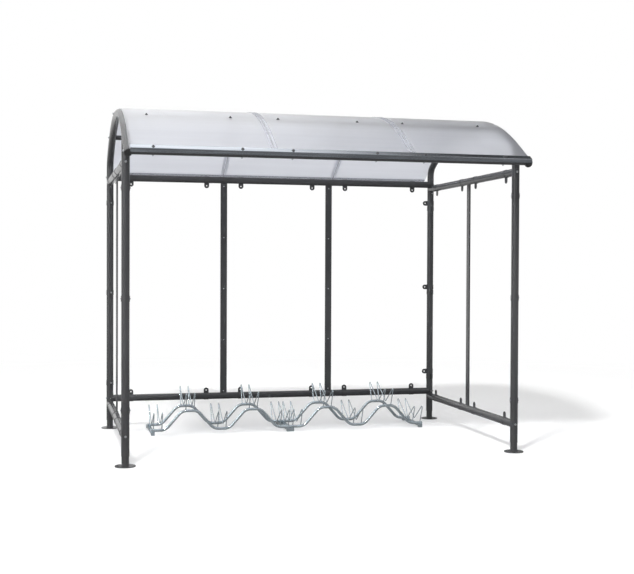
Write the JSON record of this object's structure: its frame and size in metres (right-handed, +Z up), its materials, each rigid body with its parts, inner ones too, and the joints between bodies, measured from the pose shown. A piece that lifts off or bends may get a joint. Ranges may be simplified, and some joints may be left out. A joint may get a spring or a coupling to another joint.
{
  "type": "bike shelter",
  "caption": "Open-sided bicycle shelter: tube posts and rails on round base plates, bent hoops carrying an arched translucent roof, wave racks with wire wheel loops along the back.",
  "frame": {"origin": "middle of the ground rectangle under the shelter, at ground level", "axes": "+X along the roof from the left side frame to the right one, seen from the open front; +Y from the open front to the back; +Z up"},
  "size_m": [3.168, 2.4542, 2.7036],
  "materials": {
    "frame": "fine satin powder coat, anthracite grey",
    "black_cap": "satin",
    "roof_sheet": "translucent, slightly hazy, faint flutes along the sheet",
    "joint_strip": "clear, glossy",
    "galvanised": "hot-dip galvanised, light blue-grey"
  },
  "bodies": {
    "root": {"clamps_back": "frame", "clamps_front_left": "frame", "clamps_front_right": "frame", "clamps_rear_left": "frame", "clamps_rear_right": "frame", "clamps_side_left": "frame", "clamps_side_right": "frame", "eave_strip": "frame", "eave_tube": "frame", "foot_front_left": "frame", "foot_front_right": "frame", "foot_rear_left": "frame", "foot_rear_right": "frame", "hoop_end_caps": "black_cap", "hoop_left": "frame", "hoop_right": "frame", "joint_strip_left": "joint_strip", "joint_strip_right": "joint_strip", "post_front_left": "frame", "post_front_right": "frame", "post_rear_left": "frame", "post_rear_right": "frame", "purlin_front": "frame", "purlin_rear": "frame", "purlin_ridge": "frame", "rack_left_cross_bars": "galvanised", "rack_left_front_tube": "galvanised", "rack_left_loops": "galvanised", "rack_left_rear_tube": "galvanised", "rack_right_cross_bars": "galvanised", "rack_right_front_tube": "galvanised", "rack_right_loops": "galvanised", "rack_right_rear_tube": "galvanised", "rail_back_high": "frame", "rail_back_low": "frame", "rail_left_high": "frame", "rail_left_low": "frame", "rail_right_high": "frame", "rail_right_low": "frame", "rear_edge_profile": "joint_strip", "roof_sheet_left": "roof_sheet", "roof_sheet_middle": "roof_sheet", "roof_sheet_right": "roof_sheet", "upright_back_left": "frame", "upright_back_right": "frame", "upright_left": "frame", "upright_right": "frame"}
  },
  "joints": []
}
